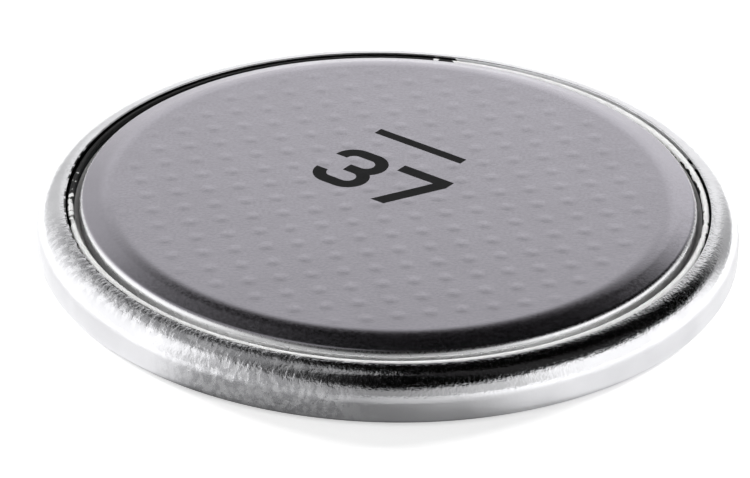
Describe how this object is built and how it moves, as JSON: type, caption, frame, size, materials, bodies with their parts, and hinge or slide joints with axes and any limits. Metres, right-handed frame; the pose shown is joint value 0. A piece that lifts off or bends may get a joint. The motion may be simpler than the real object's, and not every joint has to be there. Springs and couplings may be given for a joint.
{
  "type": "lithium coin cell",
  "caption": "Flat round lithium coin cell: a crimped steel can, a plastic sealing ring and an embossed steel cap with a printed minus bar, closed over a stack of discs.",
  "frame": {"origin": "centre of the can's flat positive face, on which the cell lies", "axes": "+Z along the cell's axis, from the positive face to the negative cap; +Y away from the front, and the number reads 35.7 degrees clockwise from +X"},
  "size_m": [0.023, 0.023, 0.002],
  "materials": {
    "can_steel": "bright nickel-plated steel, lightly marked by the crimping tool",
    "gasket_plastic": "natural milky polypropylene",
    "cap_steel": "satin steel with small shallow pips in a square grid, plain towards the wall",
    "grid_steel": "dull punched steel",
    "cathode_black": "pressed black powder",
    "separator_felt": "white non-woven felt",
    "lithium_metal": "soft dull silvery metal",
    "print_ink": "thin black ink"
  },
  "bodies": {
    "root": {"positive_can": "can_steel", "sealing_gasket": "gasket_plastic", "negative_cap": "cap_steel", "cathode_grid": "grid_steel", "cathode_pellet": "cathode_black", "separator": "separator_felt", "lithium_anode": "lithium_metal", "minus_print": "print_ink", "number_print": "print_ink"}
  },
  "joints": []
}
